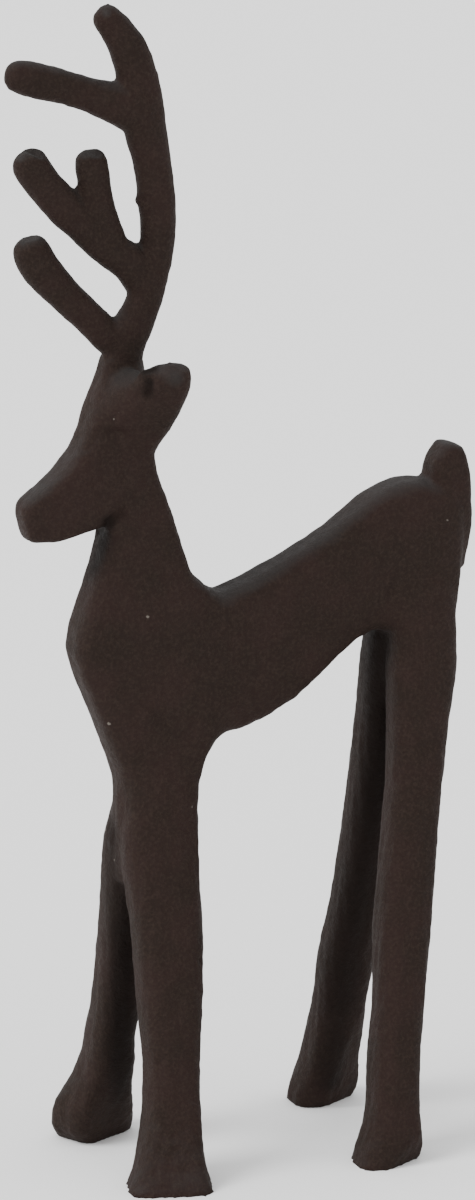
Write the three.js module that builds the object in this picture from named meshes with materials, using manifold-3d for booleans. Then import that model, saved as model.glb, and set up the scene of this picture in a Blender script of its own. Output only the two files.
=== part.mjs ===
// A standing reindeer figure, cast in one piece of aluminium.
// Millimetres. +X is the animal's left, -Y the way it faces, +Z up, feet on Z = 0.
// The body is a flat-sided slab with rounded edges that stands in the plane X = 0;
// one branching antler grows from it in that plane, and two ears and four legs
// leave it sideways.

import * as THREE from "three";
import Module from "manifold-3d";

// Overall size. The station tables below are drawn for a figure 300 tall.
const HEIGHT = 300;
const DRAWN_HEIGHT = 300;

// Sideways thickness of each region at its fullest.
const TRUNK_THICKNESS = 17;
const HEAD_THICKNESS = 14.6;
const TAIL_THICKNESS = 11.5;
const FRONT_LEG_THICKNESS = 14;
const REAR_LEG_THICKNESS = 14;

// The antler's sideways thickness as a share of its width in side view.
const ANTLER_FLATNESS = 0.78;

// Sideways distance from the middle plane to the middle of each sole.
const LEFT_FRONT_STANCE = 21.6;
const RIGHT_FRONT_STANCE = 24.8;
const LEFT_REAR_STANCE = 23.6;
const RIGHT_REAR_STANCE = 27.6;

// Height in the drawn figure where each pair of legs parts, how far the feet
// flare out beyond the lean of the legs, and the height over which they do.
const FRONT_CROTCH = 75;
const REAR_CROTCH = 120;
const FRONT_FLARE = 4.5;
const REAR_FLARE = 0.8;
const FOOT_HEIGHT = 26;

// Heels: the rear feet are cut off behind, facing out to the left. How far the
// cut stands from the middle of the sole, its direction in radians from +X, and
// its lean.
const HEEL_CUT = 5.0;
const HEEL_FACING = 0.52;
const HEEL_LEAN = 0.3;

// Turn of each foot at the sole, in radians, anticlockwise as seen from above.
const LEFT_FRONT_TURN = -0.26;
const RIGHT_FRONT_TURN = 0.5;
const LEFT_REAR_TURN = 0;
const RIGHT_REAR_TURN = 0.1;

// Ears: length from root to rim, width and thickness of the leaf, the share by
// which it thickens toward its back, the wall left around the hollow, and how far
// root and rim stand out from the middle plane. The right ear is a little smaller.
const EAR_LENGTH = 28.8;
const EAR_WIDTH = 12.9;
const EAR_THICKNESS = 6.0;
const EAR_TAPER = 0.35;
const EAR_WALL = 0.9;
const EAR_ROOT_OUT = 2.2;
const EAR_TIP_OUT = 17.4;
const RIGHT_EAR_SIZE = 0.92;

// Corners of a slice: 2 is an ellipse, larger is squarer.
const SLAB_CORNER = 4.4;
const ANTLER_CORNER = 2.3;
const LEG_CORNER = 3;
const FRONT_FOOT_CORNER = 5;
const REAR_FOOT_CORNER = 3.5;
const EAR_CORNER = 2.2;

const DARK_BROWN = "#342b29";
const ROUGHNESS = 0.62;
const METALNESS = 0.35;

// Trunk and neck from the rump to the throat. Each station is one slice:
// y and z of its upper or rear edge, y and z of its lower or front edge,
// and its share of the trunk's thickness.
const TRUNK = [
  [60.0, 170.4, 58.9, 146.0, 0.74],
  [57.6, 173.0, 56.4, 132.0, 0.90],
  [51.6, 174.6, 51.5, 122.5, 0.96],
  [44.6, 175.1, 45.0, 133.0, 0.94],
  [35.8, 171.9, 35.6, 136.8, 0.88],
  [25.3, 164.4, 25.6, 130.5, 0.85],
  [14.3, 158.4, 13.3, 120.1, 0.87],
  [3.4, 153.1, -0.3, 114.1, 0.91],
  [-1.0, 151.6, -5.6, 113.4, 0.94],
  [-5.3, 150.0, -11.2, 106.6, 0.97],
  [-7.8, 151.2, -18.0, 85.0, 1.00],
  [-9.6, 152.1, -27.4, 85.0, 1.00],
  [-11.0, 153.8, -33.7, 106.0, 1.00],
  [-12.6, 154.9, -40.5, 124.3, 1.00],
  [-14.2, 156.9, -45.2, 137.8, 0.97],
  [-14.9, 159.4, -42.1, 149.6, 0.92],
  [-16.5, 163.8, -38.5, 160.0, 0.86],
  [-18.3, 169.8, -37.0, 167.0, 0.82],
  [-20.7, 176.8, -36.6, 174.7, 0.80],
  [-23.4, 184.6, -35.5, 183.6, 0.80],
  [-24.0, 193.0, -34.6, 193.4, 0.80],
];

// Head from the crown to the end of the nose: forehead edge, jaw edge, and
// share of the head's thickness.
const HEAD = [
  [-35.6, 212.8, -28.2, 211.1, 0.50],
  [-37.9, 205.4, -23.0, 197.0, 0.88],
  [-39.7, 200.5, -25.2, 189.5, 1.00],
  [-41.4, 195.3, -27.0, 179.6, 1.00],
  [-43.6, 190.3, -31.4, 174.0, 0.96],
  [-47.2, 185.9, -37.4, 170.0, 0.90],
  [-50.5, 182.6, -43.5, 168.4, 0.83],
  [-54.0, 180.0, -48.8, 167.1, 0.77],
  [-56.8, 178.0, -53.1, 167.1, 0.71],
  [-58.0, 175.9, -56.0, 167.5, 0.64],
];

// Tail flap, from its root inside the rump to its rounded top.
const TAIL = [
  [47.5, 158.0, 61.4, 150.6, 0.80],
  [48.7, 168.0, 63.1, 161.2, 1.00],
  [51.4, 174.0, 63.0, 168.6, 1.00],
  [52.9, 179.9, 62.6, 176.0, 0.94],
  [55.2, 183.2, 61.2, 181.4, 0.76],
];

// Antler: middle line and width in side view, from root to tip.
const BEAM = [
  [-30.6, 203.0, 12.0],
  [-30.9, 211.0, 10.0],
  [-29.3, 217.6, 10.4],
  [-26.5, 222.6, 9.4],
  [-23.3, 231.1, 8.6],
  [-21.3, 241.1, 8.7],
  [-21.3, 251.1, 9.5],
  [-22.7, 261.2, 9.6],
  [-24.9, 271.3, 11.0],
  [-26.2, 281.3, 10.4],
  [-29.4, 290.6, 9.2],
  [-34.5, 297.2, 6.9],
];
const BROW_TINE = [
  [-28.1, 211.4, 7.7],
  [-34.4, 217.6, 8.4],
  [-40.0, 223.2, 8.1],
  [-46.2, 229.3, 8.7],
  [-52.0, 235.9, 9.8],
  [-54.4, 240.3, 9.4],
];
const FORK_STEM = [
  [-23.8, 228.6, 9.4],
  [-26.3, 232.2, 9.2],
  [-29.6, 236.6, 9.6],
  [-36.1, 241.1, 8.8],
  [-40.4, 245.8, 9.3],
  [-45.7, 250.8, 9.6],
  [-51.2, 257.0, 9.2],
  [-54.5, 261.9, 9.2],
];
const FORK_TINE = [
  [-33.0, 238.7, 8.3],
  [-35.4, 245.6, 8.4],
  [-37.2, 250.8, 8.6],
  [-38.0, 257.1, 8.3],
  [-38.6, 261.5, 8.2],
];
const TOP_TINE = [
  [-24.6, 273.6, 12.5],
  [-30.0, 275.2, 11.5],
  [-37.5, 277.8, 8.7],
  [-45.3, 280.4, 8.2],
  [-53.0, 282.6, 8.7],
  [-57.5, 283.9, 8.0],
];

// Legs from the body to the sole: height, middle of the slice in Y, its length
// in Y, and its share of the leg's thickness. Each leg has its own pose.
const LEFT_FRONT = [
  [112.0, -22.6, 13.0, 0.60],
  [104.0, -22.2, 20.4, 0.97],
  [96.0, -22.6, 19.2, 0.98],
  [86.0, -23.4, 20.1, 0.99],
  [75.0, -23.0, 18.8, 1.00],
  [60.0, -22.3, 17.6, 0.98],
  [45.0, -22.8, 16.2, 0.96],
  [30.0, -23.2, 13.9, 0.96],
  [18.0, -23.9, 14.3, 1.01],
  [9.0, -25.4, 16.2, 1.10],
  [3.5, -26.1, 18.6, 1.16],
  [0.0, -26.8, 22.0, 1.20],
];
const RIGHT_FRONT = [
  [112.0, -22.6, 13.0, 0.60],
  [104.0, -22.6, 20.6, 0.97],
  [96.0, -23.0, 18.7, 0.98],
  [86.0, -25.2, 17.9, 0.99],
  [75.0, -26.1, 16.0, 1.00],
  [60.0, -27.2, 13.9, 0.98],
  [45.0, -28.2, 12.6, 0.96],
  [30.0, -30.0, 11.8, 0.96],
  [24.0, -30.1, 13.1, 0.98],
  [18.0, -31.1, 14.0, 1.02],
  [13.0, -32.1, 16.6, 1.06],
  [9.0, -32.4, 19.2, 1.04],
  [4.0, -32.0, 20.8, 1.00],
  [0.0, -30.6, 18.4, 0.90],
];
const LEFT_REAR = [
  [166.0, 50.0, 12.0, 0.60],
  [150.0, 48.9, 18.8, 0.86],
  [138.0, 49.1, 17.2, 0.96],
  [126.0, 48.4, 17.8, 1.00],
  [112.0, 46.6, 15.3, 1.00],
  [97.0, 44.8, 13.6, 1.00],
  [78.0, 42.1, 13.8, 1.00],
  [60.0, 39.8, 13.8, 0.98],
  [40.0, 37.6, 12.4, 0.96],
  [24.0, 35.5, 12.6, 0.96],
  [13.0, 34.8, 12.8, 1.00],
  [5.0, 33.6, 15.8, 1.03],
  [1.5, 33.0, 17.2, 1.02],
  [0.0, 32.2, 17.4, 1.00],
];
const RIGHT_REAR = [
  [166.0, 49.0, 12.0, 0.60],
  [150.0, 48.4, 20.6, 0.86],
  [138.0, 46.8, 18.0, 0.96],
  [126.0, 44.9, 15.5, 1.00],
  [109.0, 43.7, 13.5, 1.00],
  [87.0, 42.6, 13.3, 1.00],
  [64.0, 40.9, 13.4, 0.98],
  [41.0, 38.2, 13.9, 0.96],
  [24.0, 36.9, 13.6, 0.96],
  [13.0, 36.0, 15.0, 1.00],
  [5.0, 35.4, 18.6, 0.98],
  [1.5, 34.9, 18.4, 0.96],
  [0.0, 34.4, 17.4, 0.92],
];

// Fillings between the tops of each pair of legs, down to where they part:
// height, middle in Y, length in Y, share of the leg's thickness.
const FRONT_WEB = [
  [106.0, -23.6, 19.0, 0.90],
  [96.0, -23.8, 18.8, 1.02],
  [87.0, -24.2, 18.2, 0.96],
  [80.0, -24.6, 17.2, 0.66],
  [75.5, -24.8, 15.4, 0.26],
];
const REAR_WEB = [
  [152.0, 48.6, 15.0, 0.90],
  [140.0, 48.2, 13.4, 0.96],
  [131.0, 47.0, 12.6, 0.80],
  [125.0, 46.2, 12.0, 0.50],
  [121.5, 45.8, 11.0, 0.20],
];

// Ears: y and z of the root, lean back from upright, rise of the rim toward the
// back and how far its back is turned out. Each row gives how far along the ear it lies, how far the leaf
// reaches to the back and to the front, and how thick it is.
const EAR_ROOT = [-26.8, 187.4];
const EAR_REST = 0.03;
const EAR_TILT = 0.1;
const EAR_TURN = 0.4;
const EAR_SHELL = [
  [0.00, 0.44, 2.30, 1.30],
  [0.16, 0.64, 2.30, 1.30],
  [0.32, 0.86, 2.30, 1.26],
  [0.50, 1.06, 2.20, 1.20],
  [0.66, 1.16, 2.00, 1.12],
  [0.78, 1.20, 1.60, 1.06],
  [0.88, 1.18, 1.14, 1.00],
  [0.95, 1.06, 1.02, 0.98],
  [1.00, 0.90, 1.00, 0.88],
];
const EAR_HOLLOW = [
  [0.86, 0.44, 0.40, 0.40],
  [0.90, 0.76, 0.72, 0.76],
  [0.96, 0.98, 0.94, 1.00],
  [1.12, 1.06, 1.02, 1.10],
];

const FRONT = {
  thickness: FRONT_LEG_THICKNESS,
  crotch: FRONT_CROTCH,
  flare: FRONT_FLARE,
  footCorner: FRONT_FOOT_CORNER,
};
const REAR = {
  thickness: REAR_LEG_THICKNESS,
  crotch: REAR_CROTCH,
  flare: REAR_FLARE,
  footCorner: REAR_FOOT_CORNER,
};

const SCALE = HEIGHT / DRAWN_HEIGHT;
const SIDEWAYS = new THREE.Vector3(1, 0, 0);

// Smooth rows between the drawn ones, each pair of rows split into steps.
function refine(rows, steps) {
  const fine = [];
  for (let i = 0; i + 1 < rows.length; i += 1) {
    const before = rows[Math.max(i - 1, 0)];
    const after = rows[Math.min(i + 2, rows.length - 1)];
    for (let k = 0; k < steps; k += 1) {
      const t = k / steps;
      fine.push(rows[i].map((a, j) => {
        const b = rows[i + 1][j];
        const outgoing = (b - before[j]) / 2;
        const incoming = (after[j] - a) / 2;
        const bend = (2 * a - 2 * b + outgoing + incoming) * t ** 3;
        const lean = (3 * b - 3 * a - 2 * outgoing - incoming) * t ** 2;
        return bend + lean + outgoing * t + a;
      }));
    }
  }
  fine.push(rows[rows.length - 1]);
  return fine;
}

// One closed ring of points: a rounded rectangle spanned by two half axes.
function slice(centre, along, across, corner, sides) {
  const ring = [];
  for (let i = 0; i < sides; i += 1) {
    const angle = (2 * Math.PI * (i + 0.5)) / sides;
    const c = Math.cos(angle);
    const s = Math.sin(angle);
    const u = Math.sign(c) * Math.abs(c) ** (2 / corner);
    const v = Math.sign(s) * Math.abs(s) ** (2 / corner);
    ring.push(centre.clone().addScaledVector(along, u).addScaledVector(across, v));
  }
  return ring;
}

// Rings that close a run of slices with a rounded end.
function dome(last, outward, rings) {
  const centre = last.reduce((sum, p) => sum.add(p), new THREE.Vector3());
  centre.divideScalar(last.length);
  const caps = [];
  for (let k = 1; k <= rings; k += 1) {
    const angle = (Math.PI / 2) * (k / (rings + 1));
    const shift = outward.clone().multiplyScalar(Math.sin(angle));
    caps.push(last.map((p) => p.clone().sub(centre).multiplyScalar(Math.cos(angle)).add(centre).add(shift)));
  }
  return caps;
}

// Joins rings into a closed mesh, a fan at each end.
function skin(rings) {
  const sides = rings[0].length;
  const points = rings.flat();
  const faces = [];
  for (let r = 0; r + 1 < rings.length; r += 1) {
    for (let i = 0; i < sides; i += 1) {
      const j = (i + 1) % sides;
      const a = r * sides + i;
      const b = r * sides + j;
      faces.push([a, b, b + sides], [a, b + sides, a + sides]);
    }
  }
  for (const end of [0, rings.length - 1]) {
    const middle = rings[end].reduce((sum, p) => sum.add(p), new THREE.Vector3());
    const tip = points.push(middle.divideScalar(sides)) - 1;
    for (let i = 0; i < sides; i += 1) {
      const a = end * sides + i;
      const b = end * sides + ((i + 1) % sides);
      faces.push(end === 0 ? [b, a, tip] : [a, b, tip]);
    }
  }
  return { points, faces };
}

// A flat-sided slab between two edges drawn in the middle plane.
function slab(rows, thickness, steps, sides, ends) {
  const rings = refine(rows, steps).map(([uy, uz, ly, lz, share]) => {
    const upper = new THREE.Vector3(0, uy, uz).multiplyScalar(SCALE);
    const lower = new THREE.Vector3(0, ly, lz).multiplyScalar(SCALE);
    const centre = upper.clone().add(lower).divideScalar(2);
    const along = upper.sub(lower).divideScalar(2);
    const across = SIDEWAYS.clone().multiplyScalar((thickness * share) / 2);
    return slice(centre, along, across, SLAB_CORNER, sides);
  });
  return skin(closeEnds(rings, ends));
}

// Adds a rounded end of the given depth before the first and after the last ring.
function closeEnds(rings, [first, last]) {
  const middle = (ring) => ring.reduce((sum, p) => sum.add(p), new THREE.Vector3()).divideScalar(ring.length);
  const heading = (from, to, depth) => middle(to).sub(middle(from)).normalize().multiplyScalar(depth * SCALE);
  const count = rings.length;
  const head = first > 0 ? dome(rings[0], heading(rings[1], rings[0], first), 3).reverse() : [];
  const tail = last > 0 ? dome(rings[count - 1], heading(rings[count - 2], rings[count - 1], last), 3) : [];
  return [...head, ...rings, ...tail];
}

// One branch of the antler along its middle line, with a blunt rounded tip.
function branch(rows) {
  const fine = refine(rows, 2);
  const rings = fine.map(([y, z, width], i) => {
    const before = fine[Math.max(i - 1, 0)];
    const after = fine[Math.min(i + 1, fine.length - 1)];
    const run = new THREE.Vector3(0, after[0] - before[0], after[1] - before[1]).normalize();
    const along = new THREE.Vector3().crossVectors(run, SIDEWAYS).multiplyScalar((width * SCALE) / 2);
    const across = SIDEWAYS.clone().multiplyScalar((width * SCALE * ANTLER_FLATNESS) / 2);
    return slice(new THREE.Vector3(0, y, z).multiplyScalar(SCALE), along, across, ANTLER_CORNER, 14);
  });
  return skin(closeEnds(rings, [0, rows[rows.length - 1][2] * 0.42]));
}

// One leg of level slices. It leans out from the crotch and its foot flares on
// to the stance and turns, ending in a flat sole.
function leg(rows, side, stance, turn, { thickness, crotch, flare, footCorner }) {
  const inner = thickness * 0.47;
  const rings = refine(rows, 2).map(([z, y, length, share]) => {
    const foot = Math.max(1 - z / FOOT_HEIGHT, 0);
    const lean = inner + (stance - flare - inner) * (1 - z / crotch);
    const x = side * (Math.max(lean, 0) + flare * foot ** 1.7);
    const corner = LEG_CORNER + (footCorner - LEG_CORNER) * foot;
    const centre = new THREE.Vector3(x, y * SCALE, z * SCALE);
    const upright = new THREE.Vector3(0, 0, 1);
    const along = new THREE.Vector3(0, (length * SCALE) / 2, 0).applyAxisAngle(upright, turn * foot);
    const across = new THREE.Vector3((-thickness * share) / 2, 0, 0).applyAxisAngle(upright, turn * foot);
    return slice(centre, along, across, corner, 16);
  });
  return skin(rings);
}

// An ear: a leaf that grows wide out of the head, leans out and back, and ends
// in a shallow cup that is open upward and narrower toward the front.
function ear(side, size) {
  const root = new THREE.Vector3(side * EAR_ROOT_OUT, EAR_ROOT[0] * SCALE, EAR_ROOT[1] * SCALE);
  const out = EAR_TIP_OUT - EAR_ROOT_OUT;
  const lift = Math.sqrt(Math.max(EAR_LENGTH ** 2 - out ** 2, 1));
  const reach = new THREE.Vector3(side * out, lift * Math.sin(EAR_REST), lift * Math.cos(EAR_REST));
  const run = reach.clone().normalize();
  const along = new THREE.Vector3(side * Math.sin(EAR_TURN), Math.cos(EAR_TURN), Math.tan(EAR_TILT));
  along.normalize();
  const across = new THREE.Vector3().crossVectors(run, along).normalize();
  const ring = ([t, back, front, deep], wide, thick) => {
    const half = (wide * size * (back + front)) / 4;
    const centre = root.clone().addScaledVector(reach, t * size);
    centre.addScaledVector(along, (wide * size * (back - front)) / 4);
    const broad = along.clone().multiplyScalar(half);
    const narrow = across.clone().multiplyScalar((thick * deep) / 2);
    return slice(centre, broad, narrow, EAR_CORNER, 14).map((p) => {
      const offset = p.clone().sub(centre);
      return p.addScaledVector(across, offset.dot(across) * EAR_TAPER * (offset.dot(along) / half));
    });
  };
  const wall = 2 * EAR_WALL;
  return {
    shell: skin(EAR_SHELL.map((row) => ring(row, EAR_WIDTH, EAR_THICKNESS))),
    hollow: skin(EAR_HOLLOW.map((row) => ring(row, EAR_WIDTH - wall, EAR_THICKNESS - wall))),
  };
}

const wasm = await Module();
wasm.setup();

// The solid inside a closed mesh, whichever way round its faces were drawn.
function solid({ points, faces }) {
  const vertProperties = new Float32Array(points.flatMap((p) => [p.x, p.y, p.z]));
  const body = (list) => new wasm.Manifold(new wasm.Mesh({
    numProp: 3,
    vertProperties,
    triVerts: new Uint32Array(list.flat()),
  }));
  const built = body(faces);
  return built.volume() > 0 ? built : body(faces.map(([a, b, c]) => [a, c, b]));
}

// A rear leg with the outer rear corner of its foot cut off along a leaning plane.
function rearLeg(rows, side, stance, turn) {
  const sole = new THREE.Vector3(side * stance, rows[rows.length - 1][1] * SCALE, 0);
  const facing = new THREE.Vector3(-Math.cos(HEEL_FACING), -Math.sin(HEEL_FACING), HEEL_LEAN).normalize();
  const start = sole.dot(facing) - HEEL_CUT * SCALE;
  return solid(leg(rows, side, stance, turn, REAR)).trimByPlane([facing.x, facing.y, facing.z], start);
}

let figure = solid(slab(TRUNK, TRUNK_THICKNESS, 2, 22, [2.4, 0]));
for (const [rows, side, stance, turn] of [
  [LEFT_REAR, 1, LEFT_REAR_STANCE, LEFT_REAR_TURN],
  [RIGHT_REAR, -1, RIGHT_REAR_STANCE, RIGHT_REAR_TURN],
]) {
  figure = figure.add(rearLeg(rows, side, stance, turn));
}
const pieces = [
  slab(HEAD, HEAD_THICKNESS, 2, 18, [0, 0.8]),
  slab(TAIL, TAIL_THICKNESS, 2, 16, [0, 1.4]),
  branch(BEAM),
  branch(BROW_TINE),
  branch(FORK_STEM),
  branch(FORK_TINE),
  branch(TOP_TINE),
  leg(LEFT_FRONT, 1, LEFT_FRONT_STANCE, LEFT_FRONT_TURN, FRONT),
  leg(RIGHT_FRONT, -1, RIGHT_FRONT_STANCE, RIGHT_FRONT_TURN, FRONT),
  leg(FRONT_WEB, 0, 0, 0, FRONT),
  leg(REAR_WEB, 0, 0, 0, REAR),
];
for (const piece of pieces) {
  figure = figure.add(solid(piece));
}
for (const [side, size] of [[1, 1], [-1, RIGHT_EAR_SIZE]]) {
  const { shell, hollow } = ear(side, size);
  figure = figure.add(solid(shell)).subtract(solid(hollow));
}

// Turns the joined solid into drawn faces, centred over its footprint.
function toGeometry(manifold) {
  const mesh = manifold.getMesh();
  const geometry = new THREE.BufferGeometry();
  const corners = [];
  for (let i = 0; i < mesh.vertProperties.length; i += mesh.numProp) {
    corners.push(mesh.vertProperties[i], mesh.vertProperties[i + 1], mesh.vertProperties[i + 2]);
  }
  geometry.setAttribute("position", new THREE.Float32BufferAttribute(corners, 3));
  geometry.setIndex(Array.from(mesh.triVerts));
  geometry.computeBoundingBox();
  const box = geometry.boundingBox;
  geometry.translate(-(box.min.x + box.max.x) / 2, -(box.min.y + box.max.y) / 2, -box.min.z);
  geometry.computeVertexNormals();
  return geometry;
}

const material = new THREE.MeshStandardMaterial({
  color: DARK_BROWN,
  roughness: ROUGHNESS,
  metalness: METALNESS,
});
const reindeer = new THREE.Mesh(toGeometry(figure), material);
reindeer.name = "reindeer";

const group = new THREE.Group();
group.name = "reindeer_figure";
group.add(reindeer);

export default group;
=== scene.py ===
"""Looks of a standing reindeer figure, cast in one piece of aluminium and finished dark brown.

Metres in the frame of the solid part: the animal faces -Y, its left side is +X, its soles
stand on Z = 0, and its middle plane is X = 1.5 mm. The lists of places on the skin, with
their widths, depths and reaches, are in millimetres.
"""

import math

import bmesh
import bpy
import numpy as np
from mathutils import Matrix, Vector, noise


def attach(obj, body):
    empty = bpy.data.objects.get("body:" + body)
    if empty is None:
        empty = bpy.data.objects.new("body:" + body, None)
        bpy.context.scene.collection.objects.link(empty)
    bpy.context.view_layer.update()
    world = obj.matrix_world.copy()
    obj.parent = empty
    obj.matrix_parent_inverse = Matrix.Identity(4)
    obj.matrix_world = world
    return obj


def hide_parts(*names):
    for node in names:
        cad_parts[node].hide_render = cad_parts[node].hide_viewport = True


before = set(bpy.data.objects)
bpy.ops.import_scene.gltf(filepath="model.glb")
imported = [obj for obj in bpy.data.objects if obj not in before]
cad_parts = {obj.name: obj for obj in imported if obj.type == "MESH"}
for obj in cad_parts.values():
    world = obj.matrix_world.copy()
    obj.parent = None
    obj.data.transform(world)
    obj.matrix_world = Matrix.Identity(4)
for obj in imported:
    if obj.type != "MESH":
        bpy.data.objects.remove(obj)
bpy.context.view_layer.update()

MM = 0.001

# Camera: degrees round from the animal's face and above the level, how far away, and the
# point it looks at. The long side of the picture is 36 mm of film, and the focal length
# is given in points of the picture.
CAMERA_ROUND = 69.0
CAMERA_HEIGHT = 14.0
CAMERA_AWAY = 1350 * MM
CAMERA_AIM = Vector((1.4589 * MM, -1.1126 * MM, 147 * MM))
FILM = 36.0
FOCAL_POINTS = 5313
PICTURE_POINTS = 1200

# Studio: strength and spread in degrees of the key light, the way to it, the strength of
# the pale room, and half the width of the floor.
KEY_STRENGTH = 2.4
KEY_SPREAD = 28.0
KEY_FROM = Vector((0.10, -0.80, 0.80))
ROOM_STRENGTH = 1.35
FLOOR_HALF = 9.0

# Width of one cell of the cast surface.
CELL = 0.78 * MM

# Smoothing of the cast skin: a pair of factors that rounds facets and edges but keeps
# the volume, how often it is applied everywhere, and how often again where two forms meet.
# In the soft corners only the first of the pair is applied.
ROUND_IN = 0.62
ROUND_OUT = -0.645
ROUND_TIMES = 14
JOIN_TIMES = 50
SOFT_TIMES = 45

# What the smoothing takes off the skin is given back by this much.
SKIN_GAIN = 0.10 * MM

# The edges round the soles keep their corners: up to this height only the least share of
# the smoothing is applied, and over the rise above it the share grows to the whole.
CRISP_HEIGHT = 1.5 * MM
CRISP_RISE = 5 * MM
CRISP_SHARE = 0.15

# What starts below this height is the sole, and ends flat on the floor.
SOLE_HEIGHT = 0.3 * MM

# Relief of the casting, from slow swelling to grain: depth and size of its lumps.
RELIEF = [
    (0.20 * MM, 16 * MM),
    (0.13 * MM, 4.5 * MM),
    (0.12 * MM, 2.0 * MM),
]

# Long file strokes that run down the legs: depth, size each way, the height where they
# end, how far below it they are whole, and the share of them that is left above it.
STROKE_DEPTH = 0.22 * MM
STROKE_SIZE = (1.9 * MM, 1.9 * MM, 18 * MM)
STROKE_TOP = 125 * MM
STROKE_FADE = 25 * MM
STROKE_SHARE = 0.15

# Places where two forms grow into each other: middle and reach.
JOINS = [
    ((12.0, -26.0, 118.0), 14.0),
    ((-10.0, -26.0, 118.0), 14.0),
    ((13.0, 36.0, 135.0), 17.0),
    ((-10.0, 36.0, 135.0), 17.0),
    ((1.5, 51.0, 174.0), 7.0),
    ((1.5, -30.0, 217.0), 6.0),
]

# Corners that ran full of metal and came out soft, between ears and head and at the tops
# of the front legs: middle and reach.
SOFT = [
    ((10.5, -34.6, 204.5), 5.5),
    ((-7.6, -34.6, 204.5), 5.5),
    ((10.0, -26.1, 106.0), 9.0),
    ((-7.0, -26.1, 106.0), 9.0),
]

# Metal that fills the corner between an ear and the head, and the bottom of the ear's
# hollow: middle and half widths. The left ear has the first four.
FILLS = [
    ((9.4, -31.4, 204.4), (6.4, 3.5, 6.2)),
    ((8.5, -34.6, 201.6), (4.4, 3.4, 6.6)),
    ((17.1, -27.4, 208.9), (3.0, 4.2, 4.4)),
    ((18.9, -25.4, 210.2), (2.6, 3.6, 3.6)),
    ((-6.5, -31.0, 203.8), (5.6, 3.0, 5.4)),
    ((-13.8, -27.3, 207.0), (2.8, 4.4, 3.8)),
]

# Places that more than one of the lists below uses: the fold under the jaw, a nub on the
# left shoulder, and two nicks on the left side of the head.
JAW_FOLD = [(-1.6, -38.0, 167.2), (7.0, -37.8, 171.9), (8.0, -34.7, 174.2)]
SHOULDER_NUB = (9.9, -28.7, 121.6)
FRONT_NICK = [(8.6, -36.6, 197.9), (14.0, -38.7, 199.3)]
REAR_NICK = [(8.4, -35.0, 199.7), (13.8, -37.1, 201.1)]

# Grooves cut or cast in the skin: the line, half its width and its depth.
GROOVES = [
    ([(7.4, -43.1, 190.5), (8.0, -40.6, 194.9), (9.4, -33.5, 195.4)], 0.9, 0.55),  # brow
    (JAW_FOLD, 1.5, 1.1),
    ([(4.6, -38.1, 166.5)], 3.0, 0.4),  # throat
    ([(18.1, -30.7, 208.8), (17.1, -30.8, 205.6)], 1.1, 1.3),  # front corner of the left ear
    ([(16.7, -29.3, 213.0), (19.1, -24.3, 212.8)], 1.8, 0.3),  # top of the left ear
    ([(9.1, 38.3, 147.9)], 1.6, 0.55),  # dimple on the hip
    ([(16.7, 46.2, 108.0)], 1.6, 0.55),  # dimple on the thigh
    ([(7.0, 53.6, 175.0), (6.5, 49.7, 173.9)], 1.2, 0.25),  # root of the tail
    ([(15.0, -16.2, 62.3)], 1.0, 0.6),  # back of the left front leg
    ([(15.8, -16.5, 57.2)], 1.0, 0.7),
    ([(33.0, 28.8, 0.8)], 1.2, 0.8),  # edge of the left rear sole
    ([(-16.6, 34.2, 5.3), (-16.6, 38.0, 5.0)], 0.9, 0.6),  # right rear foot
    ([(1.5, -30.5, 243.0)], 1.1, 0.6),  # back of the antler's middle tine
    (FRONT_NICK, 0.8, 0.35),
    (REAR_NICK, 0.8, 0.35),
]

# Lumps that stand proud of the skin: the line, half its width and its height.
LUMPS = [
    ([SHOULDER_NUB], 2.2, 1.0),
    ([SHOULDER_NUB, (9.9, -25.3, 114.4)], 1.7, 0.4),
    ([(1.1, -27.1, 251.4)], 1.3, 1.0),  # burr on the front of the antler's beam
    ([(8.2, -41.6, 196.4), (10.2, -33.5, 197.0)], 1.6, 0.4),  # above the brow
    ([(19.5, -22.6, 204.0), (15.5, -22.6, 196.0)], 4.0, 0.45),  # back of the left ear
    ([(-29.0, -41.0, 5.0)], 5.0, 0.8),  # toe of the right front foot
    ([(3.2, -39.5, 169.0), (8.4, -36.8, 174.6)], 2.0, 0.5),  # corner of the jaw
]

# Cuts across the tips of the antler: a point of the cut, the way it faces, and its reach.
TIP_CUTS = [
    ((4.3, -36.7, 299.4), (0.55, -0.45, 0.70), 7.0),
    ((3.3, -42.1, 263.8), (0.40, 0.10, 0.90), 4.5),
    ((3.1, -58.7, 264.2), (0.35, -0.75, 0.55), 5.0),
    ((3.1, -55.7, 264.6), (0.10, 0.35, 0.93), 3.0),
    ((2.9, -58.1, 243.0), (0.15, -0.20, 0.97), 5.0),
]

# Spots rubbed or chipped down to bare metal: the line and half its width.
BARE = [
    ([(9.8, -28.4, 147.0)], 0.7),
    ([(8.1, -38.4, 119.8)], 0.7),
    ([(11.1, -17.1, 96.6)], 0.6),
    ([(9.2, 53.2, 164.9)], 0.6),
    ([(-5.4, -34.7, 87.8), (0.8, -34.3, 81.5)], 0.6),
    (FRONT_NICK, 0.5),
    (REAR_NICK, 0.5),
]

# Painted shade, a darker colour where shade falls in the corners under the jaw, at the ear and
# inside the legs of the right side: the line and half its width.
PAINTED_SHADE_LINES = [
    (JAW_FOLD[:2], 2.2),
    ([(4.2, -38.6, 167.5), (2.4, -38.0, 159.0)], 4.0),
    ([(17.2, -31.8, 211.4), (17.8, -29.2, 211.8)], 1.4),
    ([(18.1, -30.7, 208.8), (17.1, -30.8, 205.4)], 1.3),
    ([(1.6, 38.0, 133.1), (-2.0, 39.5, 100.0), (-8.5, 38.5, 74.0), (-16.5, 34.5, 30.0)], 6.0),
    ([(-16.5, 34.5, 30.0), (-19.0, 33.0, 8.0)], 4.0),
    ([(-1.0, -32.0, 88.0), (-3.5, -31.0, 48.0), (-7.5, -30.0, 24.0), (-10.0, -27.0, 6.0)], 4.5),
]
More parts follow.
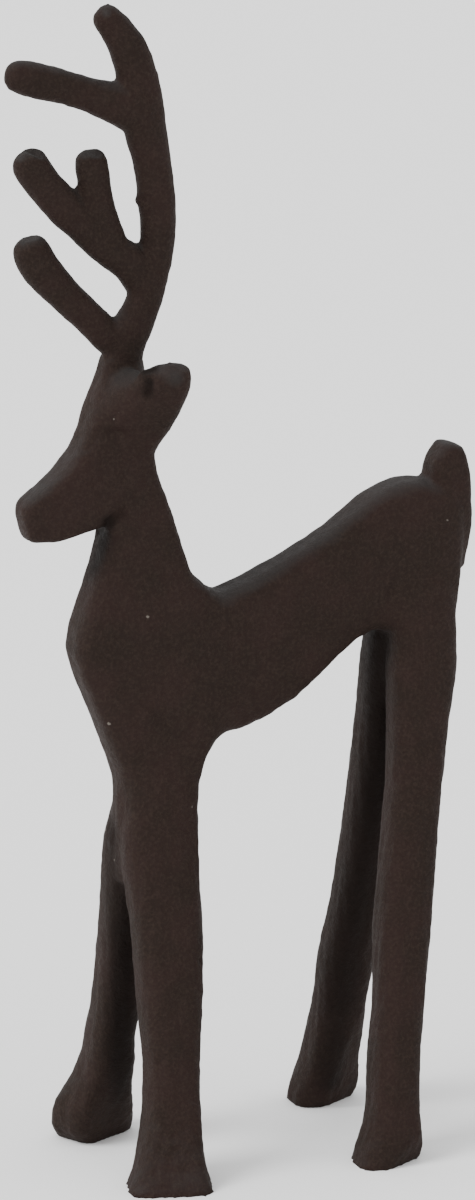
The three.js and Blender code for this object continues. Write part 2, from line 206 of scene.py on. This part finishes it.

# The tips of the antler and the hollow of the left ear, greyed by a painted highlight where their
# faces catch the light from above: the line and half its width.
PAINTED_HIGHLIGHTS = [
    ([(4.0, -36.4, 299.0)], 1.8),
    ([(3.1, -58.4, 263.9)], 1.4),
    ([(3.3, -42.0, 263.8)], 1.4),
    ([(3.0, -58.0, 243.0)], 1.6),
    ([(17.1, -29.0, 212.6), (20.6, -25.0, 210.4)], 3.0),
]

# Finish: width of its clouds, of its speckles and of its grain, and the depth of the grain.
# Casting sand is about 0.25 mm, which is one point of the picture and too fine to show, so
# the grain is drawn coarser than the real one.
CLOUD = 13 * MM
SPECKLE = 1.4 * MM
GRAIN = 0.8 * MM
GRAIN_DEPTH = 0.45 * MM


def srgb(code):
    """Linear colour of an sRGB hex value."""
    parts = [int(code[i:i + 2], 16) / 255 for i in (1, 3, 5)]
    linear = [c / 12.92 if c <= 0.04045 else ((c + 0.055) / 1.055) ** 2.4 for c in parts]
    return (*linear, 1.0)


# Sockets of a mix of two colours: the share of the second, the two colours, the result.
SHARE, FIRST, SECOND, MIXED = 0, 6, 7, 2


def add(tree, kind, inputs=None, **settings):
    """Adds one node. An input is a value, or the output socket that feeds it."""
    node = tree.nodes.new(kind)
    for name, value in settings.items():
        setattr(node, name, value)
    for name, value in (inputs or {}).items():
        if isinstance(value, bpy.types.NodeSocket):
            tree.links.new(value, node.inputs[name])
        else:
            node.inputs[name].default_value = value
    return node


# The cast skin.


def even_skin(source):
    """A copy of a solid's surface with the fills, cut into even cells."""
    whole = bmesh.new()
    whole.from_mesh(source.data)
    bmesh.ops.remove_doubles(whole, verts=whole.verts, dist=0.001 * MM)
    for middle, halves in FILLS:
        widened = Matrix.Diagonal((*(Vector(halves) * MM), 1.0))
        placed = Matrix.Translation(Vector(middle) * MM) @ widened
        bmesh.ops.create_icosphere(whole, subdivisions=3, radius=1.0, matrix=placed)
    mesh = bpy.data.meshes.new("reindeer_casting")
    whole.to_mesh(mesh)
    whole.free()
    piece = bpy.data.objects.new("reindeer_casting", mesh)
    bpy.context.scene.collection.objects.link(piece)
    cells = piece.modifiers.new("cells", "REMESH")
    cells.mode = "VOXEL"
    cells.voxel_size = CELL
    evaluated = piece.evaluated_get(bpy.context.evaluated_depsgraph_get())
    shaped = bpy.data.meshes.new_from_object(evaluated)
    piece.modifiers.clear()
    piece.data = shaped
    bpy.data.meshes.remove(mesh)
    return piece


class Skin:
    """The points of a mesh with what is needed to smooth and push them."""

    def __init__(self, mesh):
        count = len(mesh.vertices)
        self.mesh = mesh
        self.points = np.empty(count * 3)
        mesh.vertices.foreach_get("co", self.points)
        self.points = self.points.reshape(-1, 3)
        edges = np.empty(len(mesh.edges) * 2, int)
        mesh.edges.foreach_get("vertices", edges)
        edges = edges.reshape(-1, 2)
        self.ends = np.concatenate([edges[:, 0], edges[:, 1]])
        self.others = np.concatenate([edges[:, 1], edges[:, 0]])
        self.degree = np.bincount(self.ends, minlength=count)[:, None]

    def ease(self, factor, share):
        """Moves every point towards the middle of its neighbours, or away from it."""
        around = self.points[self.others]
        sums = [np.bincount(self.ends, around[:, k], len(self.points)) for k in range(3)]
        pull = np.stack(sums, 1) / self.degree - self.points
        self.points += factor * np.reshape(share, (-1, 1)) * pull

    def normals(self):
        """The way every point faces."""
        self.close()
        found = np.empty(len(self.points) * 3)
        self.mesh.vertices.foreach_get("normal", found)
        return found.reshape(-1, 3)

    def push(self, depth):
        """Moves every point out along its normal."""
        self.points += self.normals() * np.reshape(depth, (-1, 1))

    def near(self, line, width):
        """A share from 1 on a line, or on a single point, down to 0 away from it."""
        corners = np.array(line) * MM
        if len(corners) == 1:
            corners = np.repeat(corners, 2, axis=0)
        nearest = np.full(len(self.points), np.inf)
        for start, end in zip(corners[:-1], corners[1:]):
            along = end - start
            length = max(along @ along, 1e-12)
            share = np.clip((self.points - start) @ along / length, 0, 1)[:, None]
            away = np.linalg.norm(self.points - start - share * along, axis=1)
            nearest = np.minimum(nearest, away)
        return np.exp(-(nearest / (width * MM)) ** 2)

    def near_any(self, lines):
        """The greatest share from a list of lines with their widths."""
        return np.max([self.near(line, width) for line, width in lines], axis=0)

    def cut(self, point, facing, reach):
        """Cuts off what stands beyond a plane, within reach of the point."""
        outward = np.array(facing) / np.linalg.norm(facing)
        middle = np.array(point) * MM
        within = np.linalg.norm(self.points - middle, axis=1) < reach * MM
        beyond = np.maximum((self.points - middle) @ outward, 0) * within
        self.points -= beyond[:, None] * outward

    def keep(self, name, values):
        """Writes one number for each point of the mesh."""
        layer = self.mesh.attributes.new(name, "FLOAT", "POINT")
        layer.data.foreach_set("value", np.asarray(values, "f"))

    def close(self):
        """Puts the points back into the mesh."""
        self.mesh.vertices.foreach_set("co", self.points.ravel())
        self.mesh.update()


def unevenness(points, size, seed):
    """Smooth noise from -1 to 1 with lumps of the given size, one size or one each way."""
    offset = np.array((7.3, 3.1, 5.7)) * seed
    return np.array([noise.noise(p) for p in points / np.array(size) + offset])


casting = even_skin(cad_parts["reindeer"])
skin = Skin(casting.data)

# Facets and edges are rounded, and the joins and soft corners more so.
first_height = skin.points[:, 2].copy()
rounded = np.clip((first_height - CRISP_HEIGHT) / CRISP_RISE, CRISP_SHARE, 1.0)
for _ in range(ROUND_TIMES):
    skin.ease(ROUND_IN, rounded)
    skin.ease(ROUND_OUT, rounded)
joined = skin.near_any([([middle], reach) for middle, reach in JOINS])
for _ in range(JOIN_TIMES):
    skin.ease(ROUND_IN, joined)
    skin.ease(ROUND_OUT, joined)
soft = skin.near_any([([middle], reach) for middle, reach in SOFT])
for _ in range(SOFT_TIMES):
    skin.ease(ROUND_IN, soft)
skin.push(SKIN_GAIN)

# The marks of the pattern, the mould and the file.
for line, width, depth in GROOVES:
    skin.push(-depth * MM * skin.near(line, width))
for line, width, rise in LUMPS:
    skin.push(rise * MM * skin.near(line, width))
for point, facing, reach in TIP_CUTS:
    skin.cut(point, facing, reach)

# The fine relief, and then the flat soles.
legs = np.clip((STROKE_TOP - skin.points[:, 2]) / STROKE_FADE, STROKE_SHARE, 1.0)
for seed, (depth, size) in enumerate(RELIEF, 1):
    skin.push(depth * unevenness(skin.points, size, seed))
skin.push(STROKE_DEPTH * legs * unevenness(skin.points, STROKE_SIZE, 4))
skin.points[first_height < SOLE_HEIGHT, 2] = 0.0
skin.points[:, 2] = np.maximum(skin.points[:, 2], 0.0)

# What the finish needs to know: where a painted sheen greys what faces up and the painted
# highlights, where metal is bare, and where painted shade darkens the corners.
# Painted sheen of the light from above on what faces up, and painted highlights at the antler tips
# and the ear hollow.
skin.keep("painted_sheen", np.maximum(np.clip(skin.normals()[:, 2], 0, 1), skin.near_any(PAINTED_HIGHLIGHTS)))
skin.keep("bare", skin.near_any(BARE))
# Painted shade in the corners under the jaw, at the ear and inside the right-hand legs.
skin.keep("painted_shade", skin.near_any(PAINTED_SHADE_LINES))
skin.close()
casting.data.shade_smooth()


# Material.


def patinated_cast_aluminium():
    """Sand-cast aluminium under a dark brown matt finish: the grain of the sand shows as fine dull
    pits, the finish is cloudy and warm brown on the flanks, a painted sheen of the light from above
    makes it greyer on what faces up, painted shade makes it darker in the corners where shade
    falls, and it is rubbed to bare grey metal in a few small spots."""
    material = bpy.data.materials.new("patinated_cast_aluminium")
    material.use_nodes = True
    tree = material.node_tree
    tree.nodes.clear()
    place = add(tree, "ShaderNodeTexCoord").outputs["Object"]
    # Share of painted sheen and painted highlight.
    painted_sheen = add(tree, "ShaderNodeAttribute", attribute_name="painted_sheen").outputs["Fac"]
    bare = add(tree, "ShaderNodeAttribute", attribute_name="bare").outputs["Fac"]
    # Share of painted shade.
    painted_shade = add(tree, "ShaderNodeAttribute", attribute_name="painted_shade").outputs["Fac"]

    cloud = add(tree, "ShaderNodeTexNoise", {
        "Vector": place, "Scale": 1 / CLOUD, "Detail": 4.0, "Roughness": 0.6})
    speckle = add(tree, "ShaderNodeTexNoise", {
        "Vector": place, "Scale": 1 / SPECKLE, "Detail": 3.0, "Roughness": 0.6})
    grain = add(tree, "ShaderNodeTexNoise", {
        "Vector": place, "Scale": 1 / GRAIN, "Detail": 3.0, "Roughness": 0.7})

    # The brown finish: two browns in clouds, and paler flecks on the grain.
    warm = add(tree, "ShaderNodeMapRange", {
        "Value": cloud.outputs["Fac"], "From Min": 0.38, "From Max": 0.62})
    tone = add(tree, "ShaderNodeMix", {
        SHARE: warm.outputs["Result"], FIRST: srgb("#211814"),
        SECOND: srgb("#261a17")}, data_type="RGBA")
    spots = add(tree, "ShaderNodeMapRange", {
        "Value": grain.outputs["Fac"], "From Min": 0.45, "From Max": 0.70, "To Max": 0.7})
    flecked = add(tree, "ShaderNodeMix", {
        SHARE: spots.outputs["Result"], FIRST: tone.outputs[MIXED],
        SECOND: srgb("#312721")}, data_type="RGBA")

    # Painted sheen: greyer on what faces up and at the painted highlights, where light from above
    # falls. Painted shade: darker in the corners, where shade falls.
    sheen_share = add(tree, "ShaderNodeMapRange", {
        "Value": painted_sheen, "From Min": 0.35, "From Max": 0.95, "To Max": 0.55})
    with_painted_sheen = add(tree, "ShaderNodeMix", {
        SHARE: sheen_share.outputs["Result"], FIRST: flecked.outputs[MIXED],
        SECOND: srgb("#323232")}, data_type="RGBA")
    # Painted shade: a near-black brown mixed in where shade falls in the corners.
    shade_share = add(tree, "ShaderNodeMapRange", {
        "Value": painted_shade, "From Min": 0.1, "From Max": 0.9, "To Max": 0.85})
    finish = add(tree, "ShaderNodeMix", {
        SHARE: shade_share.outputs["Result"], FIRST: with_painted_sheen.outputs[MIXED],
        SECOND: srgb("#110a07")}, data_type="RGBA")

    # Bare metal with ragged edges.
    ragged = add(tree, "ShaderNodeMath", {0: bare, 1: speckle.outputs["Fac"]}, operation="MULTIPLY")
    rubbed = add(tree, "ShaderNodeMapRange", {
        "Value": ragged.outputs["Value"], "From Min": 0.26, "From Max": 0.36})
    colour = add(tree, "ShaderNodeMix", {
        SHARE: rubbed.outputs["Result"], FIRST: finish.outputs[MIXED],
        SECOND: srgb("#736d66")}, data_type="RGBA")

    dull = add(tree, "ShaderNodeMapRange", {
        "Value": speckle.outputs["Fac"],
        "From Min": 0.3, "From Max": 0.7, "To Min": 0.60, "To Max": 0.74})
    pits = add(tree, "ShaderNodeBump", {
        "Height": grain.outputs["Fac"], "Distance": GRAIN_DEPTH, "Strength": 0.9})
    body = add(tree, "ShaderNodeBsdfPrincipled", {
        "Base Color": colour.outputs[MIXED],
        "Roughness": dull.outputs["Result"],
        "Normal": pits.outputs["Normal"],
        "Metallic": rubbed.outputs["Result"],
        "Specular IOR Level": 0.1,
    })
    add(tree, "ShaderNodeOutputMaterial", {"Surface": body.outputs["BSDF"]})
    return material


casting.data.materials.clear()
casting.data.materials.append(patinated_cast_aluminium())
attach(casting, "root")
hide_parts("reindeer")


# Studio.


def studio_floor():
    """A wide sheet of matt white paper under the figure."""
    mesh = bpy.data.meshes.new("studio_floor")
    corners = [(x * FLOOR_HALF, y * FLOOR_HALF, 0) for x, y in ((-1, -1), (1, -1), (1, 1), (-1, 1))]
    mesh.from_pydata(corners, [], [(0, 1, 2, 3)])
    floor = bpy.data.objects.new("studio_floor", mesh)
    bpy.context.scene.collection.objects.link(floor)
    material = bpy.data.materials.new("matt_white_paper")
    material.use_nodes = True
    shader = material.node_tree.nodes["Principled BSDF"]
    shader.inputs["Base Color"].default_value = srgb("#f7f7f7")
    shader.inputs["Roughness"].default_value = 0.9
    shader.inputs["Specular IOR Level"].default_value = 0.1
    mesh.materials.append(material)


def studio_light():
    """A broad soft key in front of the animal's face and above, and an even pale room."""
    sun = bpy.data.lights.new("key", "SUN")
    sun.energy = KEY_STRENGTH
    sun.angle = math.radians(KEY_SPREAD)
    key = bpy.data.objects.new("key", sun)
    key.rotation_mode = "QUATERNION"
    key.rotation_quaternion = KEY_FROM.to_track_quat("Z", "Y")
    bpy.context.scene.collection.objects.link(key)
    world = bpy.data.worlds.new("room")
    world.use_nodes = True
    background = world.node_tree.nodes["Background"]
    background.inputs["Color"].default_value = srgb("#ffffff")
    background.inputs["Strength"].default_value = ROOM_STRENGTH
    bpy.context.scene.world = world


def camera():
    """The photograph's viewpoint."""
    turn, tilt = math.radians(CAMERA_ROUND), math.radians(CAMERA_HEIGHT)
    level = math.cos(tilt)
    back = Vector((math.sin(turn) * level, -math.cos(turn) * level, math.sin(tilt)))
    right = Vector((math.cos(turn), math.sin(turn), 0.0))
    turned = Matrix((right, back.cross(right), back)).transposed().to_4x4()
    data = bpy.data.cameras.new("camera")
    data.lens = FILM * FOCAL_POINTS / PICTURE_POINTS
    data.sensor_width = FILM
    data.clip_start, data.clip_end = 0.05, 50.0
    eye = bpy.data.objects.new("camera", data)
    eye.matrix_world = Matrix.Translation(CAMERA_AIM + back * CAMERA_AWAY) @ turned
    bpy.context.scene.collection.objects.link(eye)
    bpy.context.scene.camera = eye


studio_floor()
studio_light()
camera()
